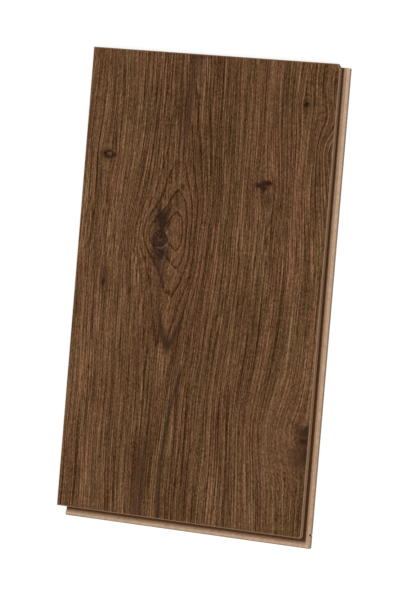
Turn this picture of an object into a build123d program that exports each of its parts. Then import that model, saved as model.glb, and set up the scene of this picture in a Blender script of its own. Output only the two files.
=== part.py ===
import os

from build123d import *

# Board size, between the joint lines where neighbouring planks meet
module_width = 240.0
module_length = 400.0
plank_thickness = 9.0
decor_thickness = 2.0
edge_bevel = 0.8
front_nip_along_end = 1.5
front_nip_along_side = 1.8
back_nip_along_end = 3.0
back_nip_along_side = 3.9

# Heights of the click profile above the underside
lip_floor = 2.2
ridge_top = 3.4
groove_roof = 5.2

# Long edge, angled in: lip and groove on the right, tongue on the left
side_lip_reach = 6.3
side_floor_run = 0.6
side_ridge_start = 3.8
groove_depth = 2.2
groove_back_round = 0.6
tongue_reach = 1.9
tongue_nose_round = 0.7

# Short edge, dropped in: lip at the front end, hook at the back end
end_lip_reach = 8.0
end_floor_run = 1.4
end_ridge_start = 5.2
snap_height = 4.3
snap_half_height = 0.6
snap_bead = 0.3
recess_to_groove = 2.0

# Rounding, trimming and running room
ridge_round = 0.5
lip_corner_round = 1.0
side_lip_end_trim = 2.8
profile_clearance = 0.1
reach_clearance = 0.3
snap_clearance = 0.1

# A chip out of the long lip, as it is seen near the front end
chip_from_front = 3.7
chip_depth = 1.3
chip_half_width = 0.7

# Sizes that follow from the ones above
half_width = module_width / 2
half_length = module_length / 2
core_top = plank_thickness - decor_thickness
side_recess = side_lip_reach + reach_clearance
end_recess = end_lip_reach + reach_clearance
groove_back = half_width - groove_depth
recess_stop = groove_back - recess_to_groove

# Cutters run this far past the board
overrun = 5.0


def lip_line(floor, crest, floor_run, ridge_start):
    """Hollow curve that climbs from the channel's floor to the locking ridge."""
    foot = (floor_run, floor)
    brow = (ridge_start, crest)
    return TangentArc(foot, brow, tangent=(1, 0))


def outline_of(*pieces):
    """Face bounded by a closed run of lines and arcs."""
    return make_face(Curve() + list(pieces))


def lip_cutter(wall, floor_start, floor_run, ridge_start, reach):
    """Section that mills the seat above a lip: wall, channel and the crown of the ridge."""
    high = core_top + overrun
    far = reach + overrun
    return outline_of(
        *wall,
        Line(floor_start, (floor_run, lip_floor)),
        lip_line(lip_floor, ridge_top, floor_run, ridge_start),
        Polyline((ridge_start, ridge_top), (far, ridge_top), (far, high), (0, high)),
    )


def ridge_round_cutter(reach):
    """Section that rounds the ridge's outer edge."""
    crown_end = (reach - ridge_round, ridge_top)
    shoulder = (reach, ridge_top - ridge_round)
    high = ridge_top + overrun
    far = reach + overrun
    return outline_of(
        TangentArc(crown_end, shoulder, tangent=(1, 0)),
        Polyline(shoulder, (far, ridge_top - ridge_round), (far, high), (reach - ridge_round, high), crown_end),
    )


def groove_side_cutter():
    """Long edge with the lip: joint wall, groove under the upper lip, then the lip itself."""
    back = -groove_depth
    turn = back + groove_back_round
    middle = (lip_floor + groove_roof) / 2
    wall = [
        Polyline((0, core_top + overrun), (0, groove_roof), (turn, groove_roof)),
        ThreePointArc((turn, groove_roof), (back, middle), (turn, lip_floor)),
    ]
    return lip_cutter(wall, (turn, lip_floor), side_floor_run, side_ridge_start, side_lip_reach)


def lip_end_cutter():
    """Short edge with the lip: joint wall with a snap bead, then the lip."""
    high = snap_height + snap_half_height
    low = snap_height - snap_half_height
    wall = [
        Line((0, core_top + overrun), (0, high)),
        ThreePointArc((0, high), (snap_bead, snap_height), (0, low)),
        Line((0, low), (0, lip_floor)),
    ]
    return lip_cutter(wall, (0, lip_floor), end_floor_run, end_ridge_start, end_lip_reach)


def tongue_side_cutter():
    """Long edge with the tongue: all that lies outside the tongue, its heel and the ridge's recess."""
    tongue_top = groove_roof - profile_clearance
    heel = lip_floor + profile_clearance
    ceiling = ridge_top + profile_clearance
    turn = tongue_nose_round - tongue_reach
    middle = (tongue_top + heel) / 2
    out = -tongue_reach - overrun
    high = core_top + overrun
    return outline_of(
        Polyline((0, high), (0, tongue_top), (turn, tongue_top)),
        ThreePointArc((turn, tongue_top), (-tongue_reach, middle), (turn, heel)),
        Line((turn, heel), (side_floor_run, heel)),
        lip_line(heel, ceiling, side_floor_run, side_ridge_start),
        Polyline(
            (side_ridge_start, ceiling),
            (side_recess, ceiling),
            (side_recess, -overrun),
            (out, -overrun),
            (out, high),
            (0, high),
        ),
    )


def hook_end_cutter():
    """Short edge with the hook: the space under the hook and the ridge's recess behind it."""
    heel = lip_floor + profile_clearance
    ceiling = ridge_top + profile_clearance
    return outline_of(
        Line((-overrun, heel), (end_floor_run, heel)),
        lip_line(heel, ceiling, end_floor_run, end_ridge_start),
        Polyline(
            (end_ridge_start, ceiling),
            (end_recess, ceiling),
            (end_recess, -overrun),
            (-overrun, -overrun),
            (-overrun, heel),
        ),
    )


def snap_groove_cutter():
    """Shallow hollow in the hook's face that takes the neighbour's snap bead."""
    high = snap_height + snap_half_height + snap_clearance
    low = snap_height - snap_half_height - snap_clearance
    depth = snap_bead + snap_clearance
    return outline_of(
        ThreePointArc((0, high), (depth, snap_height), (0, low)),
        Polyline((0, low), (-overrun, low), (-overrun, high), (0, high)),
    )


def along_length(section, at_x, outward, start, end):
    """Run a section along the plank's length, its first axis pointing outward in X."""
    plane = Plane(origin=(at_x, start, 0), x_dir=(outward, 0, 0), z_dir=(0, -outward, 0))
    return extrude(plane * section, amount=end - start, dir=(0, 1, 0))


def along_width(section, at_y, outward, start, end):
    """Run a section across the plank's width, its first axis pointing outward in Y."""
    plane = Plane(origin=(start, at_y, 0), x_dir=(0, outward, 0), z_dir=(outward, 0, 0))
    return extrude(plane * section, amount=end - start, dir=(1, 0, 0))


def board_outline():
    """Plan of the walking face: a rectangle with its two lip-side corners nipped off."""
    return make_face(
        Polyline(
            (-half_width, -half_length),
            (half_width - front_nip_along_end, -half_length),
            (half_width, -half_length + front_nip_along_side),
            (half_width, half_length - back_nip_along_side),
            (half_width - back_nip_along_end, half_length),
            (-half_width, half_length),
            close=True,
        )
    )


def corner_nip(end, along_end, along_side):
    """Prism that takes one corner off the upper lip, at the front (-1) or back (+1) end."""
    edge = end * half_length
    past = edge + end * overrun
    plan = make_face(
        Polyline(
            (half_width - along_end, edge),
            (half_width, edge - end * along_side),
            (half_width + overrun, edge - end * along_side),
            (half_width + overrun, past),
            (half_width - along_end, past),
            close=True,
        )
    )
    return extrude(Pos(0, 0, groove_roof) * plan, amount=core_top - groove_roof + overrun, dir=(0, 0, 1))


def make_core():
    """Fibre board milled on all four edges."""
    left = -half_width - tongue_reach
    right = half_width + side_lip_reach
    front = -half_length - end_lip_reach
    lip_start = -half_width + side_recess
    lip_end = half_length - side_lip_end_trim
    plan = make_face(
        Polyline(
            (left, -half_length),
            (lip_start, -half_length),
            (lip_start, front),
            (right, front),
            (right, lip_end),
            (half_width, lip_end),
            (half_width, half_length),
            (left, half_length),
            close=True,
        )
    )
    front_corners = plan.vertices().group_by(Axis.Y)[0]
    back_corner = plan.vertices().group_by(Axis.X)[-1].sort_by(Axis.Y)[-1]
    plan = fillet([*front_corners, back_corner], lip_corner_round)
    board = extrude(plan, amount=core_top, dir=(0, 0, 1))
    first = front - overrun
    last = half_length + overrun
    before = left - overrun
    after = right + overrun
    cutter_height = core_top + overrun + overrun

    side_seat = groove_side_cutter()
    end_seat = lip_end_cutter()
    side_run = along_length(side_seat, half_width, 1, first, last)
    end_run = along_width(end_seat, -half_length, -1, before, after)
    behind = Pos(0, -half_length, -overrun) * Box(
        after - before,
        last + half_length,
        cutter_height,
        align=(Align.CENTER, Align.MIN, Align.MIN),
    )
    inside = Pos(half_width, first, -overrun) * Box(
        half_width - before,
        last - first,
        cutter_height,
        align=(Align.MAX, Align.MIN, Align.MIN),
    )
    board -= side_run & (behind + end_run)
    board -= end_run & (inside + side_run)
    board -= Pos(groove_back, -half_length, ridge_top) * Box(
        after - groove_back,
        end_lip_reach + overrun,
        core_top + overrun,
        align=(Align.MIN, Align.MAX, Align.MIN),
    )
    board -= along_length(ridge_round_cutter(side_lip_reach), half_width, 1, first, last)
    board -= along_width(ridge_round_cutter(end_lip_reach), -half_length, -1, before, after)
    board -= along_length(tongue_side_cutter(), -half_width, 1, first, last)
    board -= along_width(hook_end_cutter(), half_length, -1, before, recess_stop)
    board -= along_width(snap_groove_cutter(), half_length, -1, before, recess_stop)
    board -= Pos(recess_stop, lip_end, groove_roof) * Box(
        after - recess_stop,
        last - lip_end,
        groove_roof + overrun,
        align=(Align.MIN, Align.MIN, Align.MAX),
    )

    board -= corner_nip(1, back_nip_along_end, back_nip_along_side)
    board -= corner_nip(-1, front_nip_along_end, front_nip_along_side)

    chip_y = -half_length + chip_from_front
    chip_spread = chip_half_width * (chip_depth + overrun) / chip_depth
    chip = make_face(
        Polyline(
            (right - chip_depth, chip_y),
            (right + overrun, chip_y - chip_spread),
            (right + overrun, chip_y + chip_spread),
            close=True,
        )
    )
    board -= extrude(Pos(0, 0, -overrun) * chip, amount=cutter_height, dir=(0, 0, 1))

    return board


def make_decor():
    """Printed vinyl layer with a bevel round its whole upper edge."""
    slab = extrude(Pos(0, 0, core_top) * board_outline(), amount=decor_thickness, dir=(0, 0, 1))
    rim = slab.faces().sort_by(Axis.Z)[-1].edges()
    return chamfer(rim, edge_bevel)


os.makedirs("parts", exist_ok=True)
export_step(make_core(), "parts/core_board.step")
export_step(make_decor(), "parts/decor_layer.step")
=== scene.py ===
from collections import namedtuple

import bpy
from mathutils import Color, Matrix, Vector


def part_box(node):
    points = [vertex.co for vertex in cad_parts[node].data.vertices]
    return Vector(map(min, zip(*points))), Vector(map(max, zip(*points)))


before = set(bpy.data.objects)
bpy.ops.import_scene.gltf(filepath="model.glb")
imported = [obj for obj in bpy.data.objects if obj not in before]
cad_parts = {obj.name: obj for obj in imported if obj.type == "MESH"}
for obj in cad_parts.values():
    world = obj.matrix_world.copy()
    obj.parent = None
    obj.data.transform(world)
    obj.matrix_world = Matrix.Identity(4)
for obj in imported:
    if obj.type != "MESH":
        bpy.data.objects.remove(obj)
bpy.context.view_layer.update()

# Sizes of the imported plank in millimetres
MM_PER_M = 1000.0
FACE_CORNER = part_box("decor_layer")[1]
HALF_WIDTH = FACE_CORNER.x * MM_PER_M
HALF_LENGTH = FACE_CORNER.y * MM_PER_M
LIP_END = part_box("core_board")[1].x * MM_PER_M
LIP_FLOOR = 2.2
GROOVE_ROOF = 5.2

# Camera that sees the plank as the photograph does, in metres
CAMERA_PLACE = (1.5277, 0.1289, 2.8006)
CAMERA_AIM = (0.0095, -0.0132, 0.009)
CAMERA_UP = (-0.0945, 1.0, 0.0)
CAMERA_LENS = 219.81

# Light: an even sky and one broad lamp from the right, together one unit of white
SKY_STRENGTH = 0.65
LAMP_STRENGTH = 1.435
LAMP_SPREAD = 0.7
LAMP_FROM = (0.62, -0.167, 0.766)

# Floor, in metres, with the greys of its two looks
FLOOR_HALF_SIZE = 4.0
FLOOR_GAP = 0.00005
FLOOR_GREY = 0.8
FLOOR_SEEN_GREY = 0.45
FLOOR_SEEN_GLOW = 0.66

# Noise nodes give about 0.25 to 0.75, which these turn into about minus one to one
NOISE_GAIN = 4.0
NOISE_SHIFT = -2.0

SCREEN_WHITE = 255.0


def linear(red, green, blue):
    """Linear colour, with alpha, from the usual 0 to 255 screen values."""
    screen = Color((red / SCREEN_WHITE, green / SCREEN_WHITE, blue / SCREEN_WHITE))
    return (*screen.from_srgb_to_scene_linear(), 1.0)


# Printed wood colours
RED_WOOD = [
    (0.0, linear(50, 25, 9)),
    (0.25, linear(73, 44, 23)),
    (0.5, linear(97, 66, 43)),
    (0.75, linear(118, 82, 57)),
    (1.0, linear(149, 110, 81)),
]
OLIVE_WOOD = [
    (0.0, linear(45, 26, 8)),
    (0.25, linear(68, 44, 21)),
    (0.5, linear(92, 66, 41)),
    (0.75, linear(114, 83, 54)),
    (1.0, linear(144, 111, 78)),
]
CHARCOAL = linear(52, 37, 24)
PURPLE_BROWN = linear(70, 46, 35)
KNOT_SHADE = linear(45, 30, 21)
KNOT_BROWN = linear(74, 54, 43)
KNOT_PALE = linear(112, 87, 70)
# Black of the printed knots, also the painted shadow in the chip
KNOT_BLACK_AND_CHIP_SHADE = linear(36, 17, 5)
HALO_BROWN = linear(76, 47, 31)
# Bevel paint; its lighter end is a painted highlight
BEVEL_PAINT_AND_HIGHLIGHT = [(0.0, linear(108, 82, 60)), (1.0, linear(138, 111, 88))]

# Fibre board colours
FIBRE_SCALE = [
    (0.0, linear(160, 124, 94)),
    (0.5, linear(188, 155, 126)),
    (1.0, linear(205, 175, 147)),
]
# Painted light on the channel's rising slope
SLOPE_LIGHT_TAN = linear(216, 177, 144)
# Painted shade in the groove by the joint
GROOVE_SHADE_BROWN = linear(78, 44, 13)
WALL_BROWN = linear(112, 84, 60)
WALL_PALE = linear(138, 108, 84)
# Painted shade on the lip's outer rims
RIM_SHADE_BROWN = linear(126, 103, 86)
FLECK_BROWN = linear(132, 99, 72)

# Below, places and lengths are millimetres on the plank. A pair for a bell is its middle and half width,
# and a pair for a rise is where it starts from nothing and where it is full.

# Bending of the grain: slow waves, a curl at the lower right, a lean at the upper right
Noise = namedtuple("Noise", "across along layer detail")
WAVES = Noise(90.0, 150.0, 1.7, 1.0)
WAVE_HEIGHT = 4.0
CURL = Noise(4.5, 7.0, 5.1, 1.0)
CURL_HEIGHT = 1.2
CURL_RISE_X = (55.0, 95.0)
CURL_BELL_Y = (-152.0, 34.0)
LEAN_MIDDLE = 140.0
LEAN_SLOPE = 0.5
LEAN_HALF_LENGTH = 20.0
LEAN_RISE_X = (98.0, 116.0)

# Knots that part the grain: the share of the push and the half sizes of its reach
Push = namedtuple("Push", "x y share half_width half_length")
GRAIN_PUSHES = [
    Push(-39.0, 40.0, 0.75, 20.0, 35.0),
    Push(-95.5, 108.4, 0.80, 7.0, 12.0),
    Push(91.0, 164.1, 0.80, 5.0, 12.0),
    Push(57.5, 93.5, 0.80, 8.0, 14.0),
    Push(-91.3, -2.0, 0.70, 4.0, 12.0),
    Push(119.0, -113.0, 0.78, 32.0, 26.0),
    Push(134.0, 112.0, 0.90, 18.0, 35.0),
]

# The flame figure of the print, where the growth rings close
FLAME_AXIS = -25.0
FLAME_BEND = 4.0
FLAME_BEND_BELL_Y = (45.0, 18.0)
FLAME_MIDDLE = 46.0
FLAME_WIDTH = 30.0
FLAME_STRETCH = 60.0
FLAME_LOW_SHARE = 1.2
SIDE_SOFTNESS = 0.5
FLAME_TOP_RISE_Y = (85.0, 120.0)
NEAR_BELL_X = (4.0, 31.0)
NEAR_BELL_Y = (0.0, 110.0)
OVER_BELL_X = (6.0, 32.0)
OVER_RISE_X = (5.0, 13.0)
OVER_SHARE = 0.6

# Grain that follows the rings: how far its two sides differ is the side shift
RingNoise = namedtuple("RingNoise", "across along layer side_shift detail")
RING_GRAIN = {
    "broad": RingNoise(14.0, 240.0, 0.0, 2.0, 1.0),
    "bands": RingNoise(5.0, 220.0, 7.3, 2.0, 1.0),
    "streaks": RingNoise(2.2, 120.0, 13.1, 3.0, 0.0),
    "hue": RingNoise(6.0, 60.0, 61.7, 2.0, 1.0),
}

# Fine grain, from long threads down to grit
FINE_GRAIN = {
    "threads": Noise(0.85, 70.0, 21.7, 0.0),
    "slivers": Noise(0.85, 16.0, 29.1, 0.0),
    "dashes": Noise(0.9, 5.0, 37.9, 0.0),
    "grit": Noise(0.9, 2.0, 43.3, 0.0),
}
PORE_RISE = (0.1, 0.9)
BROKEN_SHARES = {"dashes": 0.2, "slivers": 0.2, "streaks": 0.2}
BROKEN_BASE = 0.8

# Ring edges, as parts of one turn from ring to ring, and the fine lines between them
RING_SPACING = 4.3
RING_OFFSET = 2.8
RING_WOBBLE = 0.5
WOBBLE_LOSS = 0.9
RING_LINE_RISE = (0.55, 0.92)
RING_LINE_END_RISE = (1.0, 0.94)
FLAME_LINE_RISE = (0.45, 0.1)
FLAME_LINE_END_RISE = (0.0, 0.06)
EARLY_WOOD_RISE = (0.5, 0.0)
FIRST_RING_RISE = (5.0, 6.0)
TIP_STEEPNESS = 0.2
LINE_SPACING = 2.4
LINE_WOBBLE = {"bands": 0.8, "streaks": 0.25}

# Shares by which each layer lightens or darkens the tone, which runs from zero to one
TONE_BASE = 0.64
TONE_SHARES = {
    "broad": 0.075,
    "bands": 0.033,
    "dashes": 0.135,
    "grit": 0.165,
    "pores": -0.22,
    "ring_line": -0.16,
    "flame_line": -0.5,
    "early_wood": 0.08,
}
LONG_GRAIN_SHARES = {"lines": 0.21, "streaks": 0.07, "threads": 0.22, "slivers": 0.22}
LONG_GRAIN_LOSS = 0.4
CALM_RISE_X = (60.0, 95.0)
CALM_BELL_Y = (-120.0, 60.0)
CALM_LOSS = 0.4
RINGED_SHARE = 0.05
DARK_MIDDLE_BELL_X = (-5.0, 55.0)
DARK_MIDDLE_SHARE = -0.09
PALE_PATCH_BELL_X = (98.0, 9.0)
PALE_PATCH_BELL_Y = (-116.0, 7.0)
PALE_PATCH_SHARE = 0.12
DARK_EDGE_RISE_X = (110.0, 120.0)
DARK_EDGE_RISE_Y = (0.0, -60.0)
DARK_EDGE_SHARE = -0.12
HUE_RISE = (-0.8, 0.8)
HUE_LOSS = 0.7

# Dark mineral streaks
SMOKY_SHARES = {"streaks": 0.3, "dashes": 0.2}
SMOKY_BASE = 0.8
LOWER_STREAK_FOOT = (-20.3, -160.0)
LOWER_STREAK_LEAN = 0.022
LOWER_STREAK_CURVE = 0.00135
LOWER_STREAK_HALF_WIDTH = 2.2
LOWER_STREAK_RISE_Y = (-58.0, -78.0)
FLAME_TIP_SHIFT = 5.5
FLAME_TIP_RING = 19.8
FLAME_TIP_HALF_WIDTH = 1.15
FLAME_TIP_SPREAD = 24.0
FLAME_TIP_BELL_Y = (-38.0, 24.0)
FLAME_TIP_SMOKE = 0.6
FLAME_TIP_BASE = 0.5
LOWER_STREAK_DEPTH = 0.9
SIDE_STREAK_BELL_X = (-31.2, 1.8)
SIDE_STREAK_RISE_Y = (150.0, 172.0)
SIDE_STREAK_DEPTH = 0.6
UPPER_STREAK_END = -15.0
UPPER_STREAK_LEAN = 0.128
UPPER_STREAK_HALF_WIDTH = 4.5
UPPER_STREAK_RISE_Y = (108.0, 140.0)
LOWER_BAND_BELL_X = (-34.0, 6.0)
LOWER_BAND_RISE_Y = (-120.0, -160.0)
BROAD_STREAK_DEPTH = 0.75

# Uneven outlines: a ragged edge for every knot, and strands that fan out from the main knot
RAGGED = Noise(1.6, 2.6, 51.3, 2.0)
FEATHER_TURNS = 7.0
FEATHER_LENGTH = 20.0
FEATHER_LAYER = 71.9
FEATHER_DETAIL = 1.0
PATCHY_SHARE = 0.4
PATCHY_BASE = 0.75

# Main knot: its shadows, then its body, rings, lit rim and heart in units of its half sizes
MAIN_KNOT = (-39.0, 40.0)
Shadow = namedtuple("Shadow", "place half_width half_length feather ragged core depth strands colour")
SHADOW_REACH = 1.6
KNOT_SHADOWS = [
    Shadow((-36.5, 14.0), 6.0, 17.0, 0.0, 0.3, 0.2, 0.55, 0.0, PURPLE_BROWN),
    Shadow((-38.5, 58.0), 10.0, 9.0, 0.6, 0.0, 0.3, 0.5, 0.0, KNOT_SHADE),
    Shadow((-38.2, 55.0), 5.5, 13.0, 0.55, 0.0, 0.2, 0.5, 0.55, KNOT_SHADE),
    Shadow((-37.8, 28.5), 7.0, 10.0, 0.5, 0.0, 0.2, 0.5, 0.55, KNOT_SHADE),
]
KNOT_HALF_WIDTH = 7.0
KNOT_HALF_LENGTH = 6.6
KNOT_RAGGED = 0.16
KNOT_FEATHER = 0.08
KNOT_BODY_RISE = (1.15, 0.8)
KNOT_BODY_DEPTH = 0.75
KNOT_RING_BELLS = [(0.95, 0.18), (0.55, 0.14)]
LIT_RIM_BELL = (1.25, 0.12)
LIT_SIDE_RISE = (2.0, 8.0)
LIT_RIM_DEPTH = 0.6
HEART_PLACE = (-38.2, 41.0)
HEART_HALF_WIDTH = 1.8
HEART_HALF_LENGTH = 1.4
HEART_RAGGED = 0.4
HEART_RISE = (1.3, 0.5)
HEART_DEPTH = 0.9

# Small knots and marks
Mark = namedtuple("Mark", "place half_width half_length depth colour")
SMALL_KNOTS = [
    Mark((91.0, 164.1), 3.0, 2.6, 1.0, KNOT_BLACK_AND_CHIP_SHADE),
    Mark((90.5, 158.0), 3.0, 4.0, 0.35, PURPLE_BROWN),
    Mark((-91.0, 5.0), 3.5, 9.0, 0.4, PURPLE_BROWN),
    Mark((-91.3, -2.0), 2.2, 4.5, 0.8, KNOT_SHADE),
    Mark((-89.5, -14.0), 1.2, 6.0, 0.45, KNOT_BLACK_AND_CHIP_SHADE),
    Mark((53.2, 92.8), 4.6, 2.4, 1.0, KNOT_BLACK_AND_CHIP_SHADE),
    Mark((60.4, 95.2), 5.4, 2.6, 1.0, KNOT_BLACK_AND_CHIP_SHADE),
    Mark((57.5, 91.2), 3.4, 4.4, 0.95, KNOT_SHADE),
    Mark((61.8, 81.0), 3.4, 6.5, 0.55, KNOT_SHADE),
    Mark((-20.5, 86.0), 2.2, 3.0, 0.65, KNOT_BLACK_AND_CHIP_SHADE),
    Mark((-22.6, -50.0), 2.8, 5.5, 0.55, CHARCOAL),
    Mark((-77.6, 141.3), 1.5, 2.0, 0.6, KNOT_BLACK_AND_CHIP_SHADE),
    Mark((-99.2, -76.6), 1.2, 2.5, 0.6, KNOT_BLACK_AND_CHIP_SHADE),
    Mark((116.5, -111.0), 8.0, 6.0, 0.95, CHARCOAL),
    Mark((116.8, -118.8), 6.5, 3.2, 1.0, KNOT_BLACK_AND_CHIP_SHADE),
    Mark((114.5, -131.0), 9.0, 10.0, 0.6, PURPLE_BROWN),
    Mark((120.5, -129.0), 5.5, 13.0, 0.8, CHARCOAL),
]
MARK_RAGGED = 0.35
MARK_HALO_RISE = (2.3, 0.8)
MARK_HALO_SHARE = 0.4
MARK_CORE_RISE = (1.25, 0.4)

# Knot with a dark rim round a paler middle, its rim strongest on the left
EYE_PLACE = (-95.5, 108.4)
EYE_HALF_WIDTH = 6.0
EYE_HALF_LENGTH = 3.2
EYE_HALO_RISE = (2.6, 0.8)
EYE_HALO_DEPTH = 0.5
EYE_LEFT_RISE = (6.0, -3.0)
EYE_RIM_BELL = (0.75, 0.34)
EYE_RIM_LEFT_SHARE = 0.35
EYE_RIM_BASE = 0.65
EYE_LIT_BELL = (1.45, 0.25)
EYE_LIT_DEPTH = 0.35

# Bevel, by how far the surface faces up, with a painted highlight that grows as it faces up more
BEVEL_RISE = (0.97, 0.85)
BEVEL_HIGHLIGHT_RISE = (0.2, 0.6)
BEVEL_HIGHLIGHT_SHARE = 0.6
BEVEL_SHARES = {"streaks": 0.1, "grit": 0.15}
BEVEL_BASE = 0.2

# Surface of the print, with the depth of its relief in metres
PRINT_ROUGH_SHARES = {"slivers": 0.04, "pores": 0.08}
PRINT_ROUGH_BASE = 0.55
PRINT_SPECULAR = 0.03
PRINT_RELIEF_SHARES = {"threads": 0.3, "slivers": 0.3, "pores": -1.0, "ring_line": -1.0}
PRINT_RELIEF_STRENGTH = 0.35
PRINT_RELIEF_DEPTH = 0.00012

# Board: the sizes of its mottle and of its fibres in plan and in height, then its dark flecks
MOTTLE_SIZE = 3.5
MOTTLE_HEIGHT = 1.5
MOTTLE_ROUGHNESS = 0.6
FIBRE_SIZE = 0.9
FIBRE_HEIGHT = 0.4
FIBRE_ROUGHNESS = 0.65
FIBRE_DETAIL = 3.0
FIBRE_SHARE = 0.42
FIBRE_BASE = 0.64
FLECK_RISE = (0.1, 0.8)
FLECK_DEPTH = 0.45
LIP_RISE = (2.0, 3.5)
LIP_FADE = 0.0012

# Colours of the milled edges, by the distance past the joint line and the height: painted shade in the
# groove, on the outer rims and in the chip, and painted light on the channel's slope
GROOVE_SHADE_TAPER = 0.003
SIDE_GROOVE_SHADE_RISE = (2.2, 0.2)
END_GROOVE_SHADE_RISE = (5.5, 1.7)
JOINT_RISE = (-4.0, -3.0)
GROOVE_SHADE_RISE_Z = (LIP_FLOOR - 0.6, LIP_FLOOR - 0.2)
SLOPE_LIGHT_BELL = (3.2, 1.0)
SLOPE_LIGHT_RISE_Z = (LIP_FLOOR, LIP_FLOOR + 0.2)
WALL_RISE_Z = (GROOVE_ROOF - 0.4, GROOVE_ROOF)
WALL_PALE_RISE_Y = (50.0, -HALF_LENGTH)
RIM_SHADE_FACING_RISE = (0.6, 0.1)
SIDE_RIM_SHADE_RISE = (6.0, 6.2)
SIDE_RIM_SHADE_DEPTH = 0.8
END_RIM_SHADE_RISE = (6.9, 7.8)
CHIP_PLACE = (LIP_END - 0.1, 3.7 - HALF_LENGTH)
CHIP_HALF_WIDTH = 1.1
CHIP_HALF_LENGTH = 0.9
CHIP_SHADE_RISE = (1.2, 0.8)

# Surface of the board, with the depth of its relief in metres
BOARD_ROUGH_SHARE = 0.05
BOARD_ROUGH_BASE = 0.8
BOARD_SPECULAR = 0.15
BOARD_RELIEF_FIBRES = 0.6
BOARD_RELIEF_MOTTLE = 0.2
BOARD_RELIEF_STRENGTH = 0.4
BOARD_RELIEF_DEPTH = 0.0001


class Field:
    """A number that varies over a surface: a node's output that takes part in arithmetic."""

    def __init__(self, tree, socket):
        self.tree = tree
        self.socket = socket

    def apply(self, operation, *others):
        node = self.tree.nodes.new("ShaderNodeMath")
        node.operation = operation
        for slot, value in zip(node.inputs, (self, *others)):
            feed(self.tree, value, slot)
        return Field(self.tree, node.outputs[0])

    def __add__(self, other):
        return self.apply("ADD", other)

    def __sub__(self, other):
        return self.apply("SUBTRACT", other)

    def __mul__(self, other):
        return self.apply("MULTIPLY", other)

    def __truediv__(self, other):
        return self.apply("DIVIDE", other)

    def __neg__(self):
        return self.apply("MULTIPLY", -1.0)

    def __abs__(self):
        return self.apply("ABSOLUTE")

    def __invert__(self):
        """One minus the field."""
        return self.apply("MULTIPLY_ADD", -1.0, 1.0)

    def root(self):
        return self.apply("SQRT")

    def part(self):
        """What is left after the last whole number."""
        return self.apply("FRACT")

    def larger(self, other):
        return self.apply("MAXIMUM", other)

    def smaller(self, other):
        return self.apply("MINIMUM", other)

    def wave(self):
        """Straight up and down between minus one and one, once for each whole number."""
        return abs(self.part() - 0.5) * 4.0 - 1.0

    def bell(self, middle, half_width):
        """One at the middle, fading smoothly to nothing about two half widths away."""
        offset = (self - middle) / half_width
        return (-(offset * offset)).apply("EXPONENT")

    def rise(self, low, high):
        """Smooth step from zero at low to one at high."""
        node = self.tree.nodes.new("ShaderNodeMapRange")
        node.interpolation_type = "SMOOTHSTEP"
        feed(self.tree, self, node.inputs["Value"])
        node.inputs["From Min"].default_value = low
        node.inputs["From Max"].default_value = high
        return Field(self.tree, node.outputs["Result"])


def feed(tree, value, slot):
    """Link a field to a socket, or set the socket to a plain value."""
    if isinstance(value, Field):
        tree.links.new(value.socket, slot)
    else:
        slot.default_value = value


def millimetres(tree):
    """The surface point's own place in millimetres."""
    place = tree.nodes.new("ShaderNodeTexCoord")
    scale = tree.nodes.new("ShaderNodeVectorMath")
    scale.operation = "SCALE"
    scale.inputs["Scale"].default_value = MM_PER_M
    tree.links.new(place.outputs["Object"], scale.inputs[0])
    split = tree.nodes.new("ShaderNodeSeparateXYZ")
    tree.links.new(scale.outputs[0], split.inputs[0])
    return [Field(tree, output) for output in split.outputs]


def facing_up(tree):
    """How far the surface faces up, from minus one to one."""
    shape = tree.nodes.new("ShaderNodeNewGeometry")
    split = tree.nodes.new("ShaderNodeSeparateXYZ")
    tree.links.new(shape.outputs["True Normal"], split.inputs[0])
    return Field(tree, split.outputs["Z"])


def clouds(tree, across, along, layer, detail, roughness=0.5):
    """Soft noise about zero over two coordinates and a layer, roughly from minus one to one."""
    join = tree.nodes.new("ShaderNodeCombineXYZ")
    for value, slot in zip((across, along, layer), join.inputs):
        feed(tree, value, slot)
    noise = tree.nodes.new("ShaderNodeTexNoise")
    noise.inputs["Scale"].default_value = 1.0
    noise.inputs["Detail"].default_value = detail
    noise.inputs["Roughness"].default_value = roughness
    tree.links.new(join.outputs[0], noise.inputs["Vector"])
    return Field(tree, noise.outputs["Fac"]).apply("MULTIPLY_ADD", NOISE_GAIN, NOISE_SHIFT)


def plain_clouds(x, y, noise):
    """Soft noise of the given sizes over the plank."""
    return clouds(x.tree, x / noise.across, y / noise.along, noise.layer, noise.detail)


def blend(amount, first, second):
    """Colour that goes from the first to the second with the amount."""
    node = amount.tree.nodes.new("ShaderNodeMix")
    node.data_type = "RGBA"
    feed(amount.tree, amount, node.inputs["Factor"])
    feed(amount.tree, first, node.inputs["A"])
    feed(amount.tree, second, node.inputs["B"])
    return Field(amount.tree, node.outputs["Result"])


def colour_scale(amount, stops):
    """Colour along a scale of (place, colour) stops."""
    node = amount.tree.nodes.new("ShaderNodeValToRGB")
    marks = node.color_ramp.elements
    for place, _ in stops[1:-1]:
        marks.new(place)
    for mark, (place, colour) in zip(marks, stops):
        mark.position = place
        mark.color = colour
    feed(amount.tree, amount, node.inputs["Fac"])
    return Field(amount.tree, node.outputs["Color"])


def weigh(layers, shares):
    """Sum of named layers, each times its share."""
    total = None
    for name, share in shares.items():
        weighed = layers[name] * share
        total = weighed if total is None else total + weighed
    return total


def distance(first, second):
    """Length of a way with two legs at right angles."""
    return (first * first + second * second).root()


def spot(x, y, place, half_width, half_length):
    """Distance from a place in units of an oval's half sizes."""
    return distance((x - place[0]) / half_width, (y - place[1]) / half_length)


def new_material(name):
    """Empty principled material with its tree and shader."""
    material = bpy.data.materials.new(name)
    material.use_nodes = True
    shader = material.node_tree.nodes["Principled BSDF"]
    return material, material.node_tree, shader


def add_bump(shader, height, strength, depth):
    """Surface relief from a height field, with its depth in metres."""
    tree = height.tree
    bump = tree.nodes.new("ShaderNodeBump")
    bump.inputs["Strength"].default_value = strength
    bump.inputs["Distance"].default_value = depth
    feed(tree, height, bump.inputs["Height"])
    tree.links.new(bump.outputs["Normal"], shader.inputs["Normal"])


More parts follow.
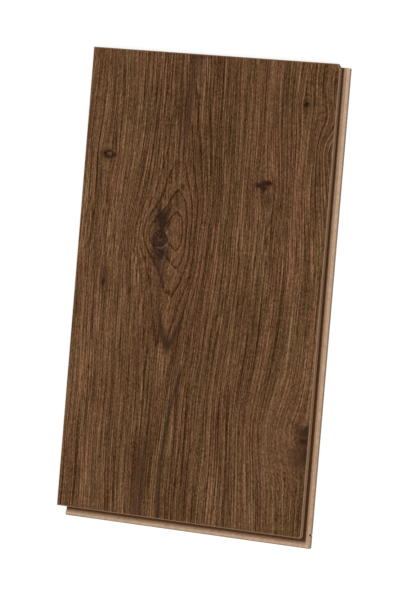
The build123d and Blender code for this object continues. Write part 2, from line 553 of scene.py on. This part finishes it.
def part_grain(x, y):
    """Coordinate across the grain, whose level lines bow round the knots."""
    across = x + plain_clouds(x, y, WAVES) * WAVE_HEIGHT
    curl = x.rise(*CURL_RISE_X) * y.bell(*CURL_BELL_Y)
    across += plain_clouds(x, y, CURL) * curl * CURL_HEIGHT
    past_lean = y - LEAN_MIDDLE
    across -= past_lean * LEAN_SLOPE * x.rise(*LEAN_RISE_X) * past_lean.bell(0.0, LEAN_HALF_LENGTH)
    for push in GRAIN_PUSHES:
        offset = x - push.x
        oval_x = offset / push.half_width
        oval_y = (y - push.y) / push.half_length
        across -= offset * push.share / (oval_x * oval_x + oval_y * oval_y + 1.0)
    return across


Flame = namedtuple("Flame", "across reach ring side near ringed")


def flame_figure(across, y):
    """Growth rings that close into a flame near its middle and run straight far from it."""
    flame_x = across - FLAME_AXIS + y.bell(*FLAME_BEND_BELL_Y) * FLAME_BEND
    flame_y = y - FLAME_MIDDLE
    run = flame_y.larger(-flame_y * FLAME_LOW_SHARE)
    reach = run * FLAME_WIDTH / (run + FLAME_STRETCH)
    ring = distance(flame_x, reach)
    side = flame_x / (ring + SIDE_SOFTNESS)
    past_top = y.rise(*FLAME_TOP_RISE_Y)
    near = flame_x.bell(*NEAR_BELL_X) * flame_y.bell(*NEAR_BELL_Y) * ~past_top
    over = flame_x.bell(*OVER_BELL_X) * abs(flame_x).rise(*OVER_RISE_X) * past_top
    return Flame(flame_x, reach, ring, side, near, near + over * OVER_SHARE)


def steepness(side):
    """Keeps a line's width even where the rings turn over at a tip."""
    return (side * side + TIP_STEEPNESS).root()


def grain_layers(across, y, flame):
    """Named layers of the grain: soft variation, pores, ring edges and fine lines."""
    layers = {}
    for name, noise in RING_GRAIN.items():
        layer = flame.side * noise.side_shift + noise.layer
        ring = flame.ring / noise.across
        layers[name] = clouds(y.tree, ring, y / noise.along, layer, noise.detail)
    for name, noise in FINE_GRAIN.items():
        layers[name] = plain_clouds(across, y, noise)
    layers["pores"] = (layers["dashes"] + layers["slivers"]).rise(*PORE_RISE)

    # Ring edges are fine dark lines, broken up into dashes
    broken = weigh(layers, BROKEN_SHARES) + BROKEN_BASE
    wobble = layers["bands"] * RING_WOBBLE * ~(flame.near * WOBBLE_LOSS)
    turn = ((flame.ring - RING_OFFSET) / RING_SPACING + wobble).part()
    ring_line = turn.rise(*RING_LINE_RISE) * turn.rise(*RING_LINE_END_RISE)
    layers["ring_line"] = ring_line * broken * ~flame.near
    to_edge = ~turn / steepness(flame.side)
    flame_line = to_edge.rise(*FLAME_LINE_RISE) * to_edge.rise(*FLAME_LINE_END_RISE)
    layers["flame_line"] = flame_line * flame.ringed * flame.ring.rise(*FIRST_RING_RISE) * broken
    layers["early_wood"] = turn.rise(*EARLY_WOOD_RISE) * flame.ringed
    layers["lines"] = (across / LINE_SPACING + weigh(layers, LINE_WOBBLE)).wave() * broken
    return layers


def wood_colour(x, y, flame, layers):
    """Colour of the plain grain, with fainter long lines in the flame and at the lower right."""
    calm = x.rise(*CALM_RISE_X) * y.bell(*CALM_BELL_Y) * CALM_LOSS
    long_grain = weigh(layers, LONG_GRAIN_SHARES) * ~(flame.near * LONG_GRAIN_LOSS) * ~calm
    tone = weigh(layers, TONE_SHARES) + long_grain + flame.ringed * RINGED_SHARE + TONE_BASE
    tone += x.bell(*DARK_MIDDLE_BELL_X) * DARK_MIDDLE_SHARE
    tone += x.bell(*PALE_PATCH_BELL_X) * y.bell(*PALE_PATCH_BELL_Y) * PALE_PATCH_SHARE
    tone += x.rise(*DARK_EDGE_RISE_X) * y.rise(*DARK_EDGE_RISE_Y) * DARK_EDGE_SHARE
    hue = layers["hue"].rise(*HUE_RISE) * ~(flame.near * HUE_LOSS)
    return blend(hue, colour_scale(tone, RED_WOOD), colour_scale(tone, OLIVE_WOOD))


def flame_tip(y, flame, smoky):
    """Dark V where the rings close below the main knot."""
    tip_x = flame.across - FLAME_TIP_SHIFT
    tip_ring = distance(tip_x, flame.reach)
    tip_side = tip_x / (tip_ring + SIDE_SOFTNESS)
    line = ((tip_ring - FLAME_TIP_RING) / steepness(tip_side)).bell(0.0, FLAME_TIP_HALF_WIDTH)
    window = y.bell(*FLAME_TIP_BELL_Y) * tip_x.bell(0.0, FLAME_TIP_SPREAD)
    return line * window * (smoky * FLAME_TIP_SMOKE + FLAME_TIP_BASE)


def add_streaks(colour, x, y, across, flame, layers):
    """Long mineral streaks that darken single rings."""
    smoky = weigh(layers, SMOKY_SHARES) + SMOKY_BASE
    up = y - LOWER_STREAK_FOOT[1]
    lower_x = x - LOWER_STREAK_FOOT[0] - up * LOWER_STREAK_LEAN - up * up * LOWER_STREAK_CURVE
    lower = lower_x.bell(0.0, LOWER_STREAK_HALF_WIDTH) * y.rise(*LOWER_STREAK_RISE_Y) * smoky
    lower = lower.larger(flame_tip(y, flame, smoky))
    colour = blend(lower * LOWER_STREAK_DEPTH, colour, CHARCOAL)
    side = x.bell(*SIDE_STREAK_BELL_X) * y.rise(*SIDE_STREAK_RISE_Y) * smoky
    colour = blend(side * SIDE_STREAK_DEPTH, colour, CHARCOAL)
    upper_x = x - UPPER_STREAK_END - (y - HALF_LENGTH) * UPPER_STREAK_LEAN
    upper = upper_x.bell(0.0, UPPER_STREAK_HALF_WIDTH) * y.rise(*UPPER_STREAK_RISE_Y) * smoky
    band = across.bell(*LOWER_BAND_BELL_X) * y.rise(*LOWER_BAND_RISE_Y) * smoky
    return blend(upper.larger(band) * BROAD_STREAK_DEPTH, colour, PURPLE_BROWN)


def add_main_knot(colour, x, y, ragged):
    """Feathered shadows above and below the main knot, then its rings, lit rim and heart."""
    knot_x = x - MAIN_KNOT[0]
    knot_y = y - MAIN_KNOT[1]
    angle = knot_x.apply("ARCTAN2", knot_y)
    fan = angle * FEATHER_TURNS
    feather = clouds(x.tree, fan, knot_y / FEATHER_LENGTH, FEATHER_LAYER, FEATHER_DETAIL)
    patchy = feather * PATCHY_SHARE + ragged * PATCHY_SHARE + PATCHY_BASE
    for shadow in KNOT_SHADOWS:
        away = spot(x, y, shadow.place, shadow.half_width, shadow.half_length)
        away = away + feather * shadow.feather + ragged * shadow.ragged
        strength = patchy * shadow.strands + shadow.depth
        colour = blend(away.rise(SHADOW_REACH, shadow.core) * strength, colour, shadow.colour)

    away = spot(x, y, MAIN_KNOT, KNOT_HALF_WIDTH, KNOT_HALF_LENGTH)
    away = away + ragged * KNOT_RAGGED + feather * KNOT_FEATHER
    colour = blend(away.rise(*KNOT_BODY_RISE) * KNOT_BODY_DEPTH, colour, KNOT_BROWN)
    for ring in KNOT_RING_BELLS:
        colour = blend(away.bell(*ring) * patchy, colour, KNOT_BLACK_AND_CHIP_SHADE)
    lit_rim = away.bell(*LIT_RIM_BELL) * (knot_x - knot_y).rise(*LIT_SIDE_RISE)
    colour = blend(lit_rim * LIT_RIM_DEPTH, colour, KNOT_PALE)
    heart = spot(x, y, HEART_PLACE, HEART_HALF_WIDTH, HEART_HALF_LENGTH) + ragged * HEART_RAGGED
    return blend(heart.rise(*HEART_RISE) * HEART_DEPTH, colour, KNOT_BLACK_AND_CHIP_SHADE)


def add_small_knots(colour, x, y, ragged):
    """Small knots and marks, each a dark core in a soft brown halo."""
    for mark in SMALL_KNOTS:
        away = spot(x, y, mark.place, mark.half_width, mark.half_length) + ragged * MARK_RAGGED
        halo = away.rise(*MARK_HALO_RISE) * mark.depth * MARK_HALO_SHARE
        colour = blend(halo, colour, HALO_BROWN)
        colour = blend(away.rise(*MARK_CORE_RISE) * mark.depth, colour, mark.colour)
    return colour


def add_eye_knot(colour, x, y, ragged):
    """Knot with a dark rim, lit on its right."""
    away = spot(x, y, EYE_PLACE, EYE_HALF_WIDTH, EYE_HALF_LENGTH) + ragged * MARK_RAGGED
    colour = blend(away.rise(*EYE_HALO_RISE) * EYE_HALO_DEPTH, colour, HALO_BROWN)
    left = (x - EYE_PLACE[0]).rise(*EYE_LEFT_RISE)
    rim = away.bell(*EYE_RIM_BELL) * (left * EYE_RIM_LEFT_SHARE + EYE_RIM_BASE)
    colour = blend(rim, colour, KNOT_BLACK_AND_CHIP_SHADE)
    return blend(away.bell(*EYE_LIT_BELL) * ~left * EYE_LIT_DEPTH, colour, KNOT_PALE)


def add_bevel(colour, layers, upward):
    """Painted bevel: brown paint with a painted highlight, lighter where it faces up more."""
    # Painted highlight: the bevel is lighter the more it faces up
    painted_light = upward.rise(*BEVEL_HIGHLIGHT_RISE) * BEVEL_HIGHLIGHT_SHARE
    tone = weigh(layers, BEVEL_SHARES) + painted_light + BEVEL_BASE
    return blend(upward.rise(*BEVEL_RISE), colour, colour_scale(tone, BEVEL_PAINT_AND_HIGHLIGHT))


def wood_print():
    """Printed wood under a matte wear layer: flame figure, streaks, pores, knots and a painted bevel
    with a painted highlight.
    """
    material, tree, shader = new_material("wood_print_grain")
    x, y, _ = millimetres(tree)
    across = part_grain(x, y)
    flame = flame_figure(across, y)
    layers = grain_layers(across, y, flame)
    ragged = plain_clouds(x, y, RAGGED)
    colour = wood_colour(x, y, flame, layers)
    colour = add_streaks(colour, x, y, across, flame, layers)
    colour = add_main_knot(colour, x, y, ragged)
    colour = add_small_knots(colour, x, y, ragged)
    colour = add_eye_knot(colour, x, y, ragged)
    colour = add_bevel(colour, layers, facing_up(tree))
    feed(tree, colour, shader.inputs["Base Color"])
    feed(tree, weigh(layers, PRINT_ROUGH_SHARES) + PRINT_ROUGH_BASE, shader.inputs["Roughness"])
    shader.inputs["Specular IOR Level"].default_value = PRINT_SPECULAR
    relief = weigh(layers, PRINT_RELIEF_SHARES)
    add_bump(shader, relief, PRINT_RELIEF_STRENGTH, PRINT_RELIEF_DEPTH)
    return material


def add_edge_colours_shade_and_light(colour, x, y, z, upward):
    """Painted shade in the groove by the joint, fading out across the channel; painted light on the
    channel's slope; the brown upper wall; painted shade on the outer rims and in the chip.
    """
    past_side = x - HALF_WIDTH
    past_end = -y - HALF_LENGTH
    # Painted shade: dark brown in the groove under the joint, fading out across the channel and shifting
    # along the side
    side_groove_shade = (past_side + y * GROOVE_SHADE_TAPER).rise(*SIDE_GROOVE_SHADE_RISE)
    groove_shade = side_groove_shade.smaller(past_end.rise(*END_GROOVE_SHADE_RISE))
    at_joint = past_side.rise(*JOINT_RISE).larger(past_end.rise(*JOINT_RISE))
    colour = blend(groove_shade * at_joint * z.rise(*GROOVE_SHADE_RISE_Z), colour, GROOVE_SHADE_BROWN)
    # Painted light: the channel's rising slope is painted paler where it faces away from the lamp
    painted_light = past_side.bell(*SLOPE_LIGHT_BELL) * z.rise(*SLOPE_LIGHT_RISE_Z)
    colour = blend(painted_light, colour, SLOPE_LIGHT_TAN)
    wall_colour = blend(y.rise(*WALL_PALE_RISE_Y), WALL_BROWN, WALL_PALE)
    colour = blend(z.rise(*WALL_RISE_Z), colour, wall_colour)
    # Painted shade: the lip's upright outer wall and front strip are painted darker
    side_rim_shade = upward.rise(*RIM_SHADE_FACING_RISE) * past_side.rise(*SIDE_RIM_SHADE_RISE) * SIDE_RIM_SHADE_DEPTH
    colour = blend(side_rim_shade.larger(past_end.rise(*END_RIM_SHADE_RISE)), colour, RIM_SHADE_BROWN)
    # Painted shadow: the chip in the lip is painted black
    chip_shade = spot(x, y, CHIP_PLACE, CHIP_HALF_WIDTH, CHIP_HALF_LENGTH)
    return blend(chip_shade.rise(*CHIP_SHADE_RISE), colour, KNOT_BLACK_AND_CHIP_SHADE)


def fibre_board():
    """Milled fibre board: mottled tan fibres with flecks, brown on the joint's upper wall, and painted
    shade and painted light on the milled edges.
    """
    material, tree, shader = new_material("fibre_core_milled")
    x, y, z = millimetres(tree)
    patches = (x / MOTTLE_SIZE, y / MOTTLE_SIZE, z / MOTTLE_HEIGHT)
    mottle = clouds(tree, *patches, FIBRE_DETAIL, MOTTLE_ROUGHNESS)
    hairs = (x / FIBRE_SIZE, y / FIBRE_SIZE, z / FIBRE_HEIGHT)
    fibres = clouds(tree, *hairs, FIBRE_DETAIL, FIBRE_ROUGHNESS)
    fade = (x - HALF_WIDTH).rise(*LIP_RISE) * y * LIP_FADE
    tone = mottle * FIBRE_SHARE + fibres * FIBRE_SHARE + fade + FIBRE_BASE
    colour = colour_scale(tone, FIBRE_SCALE)
    colour = add_edge_colours_shade_and_light(colour, x, y, z, facing_up(tree))
    colour = blend(fibres.rise(*FLECK_RISE) * FLECK_DEPTH, colour, FLECK_BROWN)
    feed(tree, colour, shader.inputs["Base Color"])
    feed(tree, fibres * BOARD_ROUGH_SHARE + BOARD_ROUGH_BASE, shader.inputs["Roughness"])
    shader.inputs["Specular IOR Level"].default_value = BOARD_SPECULAR
    relief = fibres * BOARD_RELIEF_FIBRES + mottle * BOARD_RELIEF_MOTTLE
    add_bump(shader, relief, BOARD_RELIEF_STRENGTH, BOARD_RELIEF_DEPTH)
    return material


def pale_floor():
    """Pale floor that the camera sees as white, with the plank's shadow kept; clear from below."""
    material = bpy.data.materials.new("pale_floor")
    material.use_nodes = True
    tree = material.node_tree
    tree.nodes.clear()
    plain = tree.nodes.new("ShaderNodeBsdfDiffuse")
    plain.inputs["Color"].default_value = (FLOOR_GREY, FLOOR_GREY, FLOOR_GREY, 1.0)
    seen = tree.nodes.new("ShaderNodeBsdfDiffuse")
    seen.inputs["Color"].default_value = (FLOOR_SEEN_GREY, FLOOR_SEEN_GREY, FLOOR_SEEN_GREY, 1.0)
    glow = tree.nodes.new("ShaderNodeEmission")
    glow.inputs["Strength"].default_value = FLOOR_SEEN_GLOW
    bright = tree.nodes.new("ShaderNodeAddShader")
    tree.links.new(seen.outputs[0], bright.inputs[0])
    tree.links.new(glow.outputs[0], bright.inputs[1])
    path = tree.nodes.new("ShaderNodeLightPath")
    direct = Field(tree, path.outputs["Is Camera Ray"])
    for ray in ("Is Glossy Ray", "Is Transmission Ray"):
        direct = direct.larger(Field(tree, path.outputs[ray]))
    choose = tree.nodes.new("ShaderNodeMixShader")
    feed(tree, direct, choose.inputs[0])
    tree.links.new(plain.outputs[0], choose.inputs[1])
    tree.links.new(bright.outputs[0], choose.inputs[2])
    clear = tree.nodes.new("ShaderNodeBsdfTransparent")
    shape = tree.nodes.new("ShaderNodeNewGeometry")
    from_below = tree.nodes.new("ShaderNodeMixShader")
    tree.links.new(shape.outputs["Backfacing"], from_below.inputs[0])
    tree.links.new(choose.outputs[0], from_below.inputs[1])
    tree.links.new(clear.outputs[0], from_below.inputs[2])
    output = tree.nodes.new("ShaderNodeOutputMaterial")
    tree.links.new(from_below.outputs[0], output.inputs["Surface"])
    return material


def add_floor():
    """Level floor under the plank."""
    mesh = bpy.data.meshes.new("floor")
    size = FLOOR_HALF_SIZE
    level = -FLOOR_GAP
    corners = [(-size, -size, level), (size, -size, level), (size, size, level), (-size, size, level)]
    mesh.from_pydata(corners, [], [(0, 1, 2, 3)])
    mesh.materials.append(pale_floor())
    floor = bpy.data.objects.new("floor", mesh)
    floor.visible_diffuse = False
    floor.visible_shadow = False
    bpy.context.collection.objects.link(floor)


def add_light():
    """Even sky with one broad lamp from the right."""
    world = bpy.data.worlds.new("soft_sky")
    world.use_nodes = True
    sky = world.node_tree.nodes["Background"]
    sky.inputs["Color"].default_value = (1.0, 1.0, 1.0, 1.0)
    sky.inputs["Strength"].default_value = SKY_STRENGTH
    bpy.context.scene.world = world
    lamp_data = bpy.data.lights.new("broad_lamp", "SUN")
    lamp_data.energy = LAMP_STRENGTH
    lamp_data.angle = LAMP_SPREAD
    lamp = bpy.data.objects.new("broad_lamp", lamp_data)
    lamp.rotation_euler = Vector(LAMP_FROM).to_track_quat("Z", "Y").to_euler()
    bpy.context.collection.objects.link(lamp)


def add_camera():
    """Camera at the photograph's place, looking down on the plank."""
    place = Vector(CAMERA_PLACE)
    forward = (Vector(CAMERA_AIM) - place).normalized()
    right = forward.cross(Vector(CAMERA_UP)).normalized()
    up = right.cross(forward)
    turn = Matrix((right, up, -forward)).transposed().to_4x4()
    lens = bpy.data.cameras.new("camera")
    lens.lens = CAMERA_LENS
    camera = bpy.data.objects.new("camera", lens)
    camera.matrix_world = Matrix.Translation(place) @ turn
    bpy.context.collection.objects.link(camera)
    bpy.context.scene.camera = camera


def dress(node, material):
    """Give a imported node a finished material."""
    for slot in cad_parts[node].material_slots:
        slot.material = material


add_camera()
add_light()
add_floor()
dress("decor_layer", wood_print())
dress("core_board", fibre_board())

bpy.context.scene.view_settings.view_transform = "Standard"
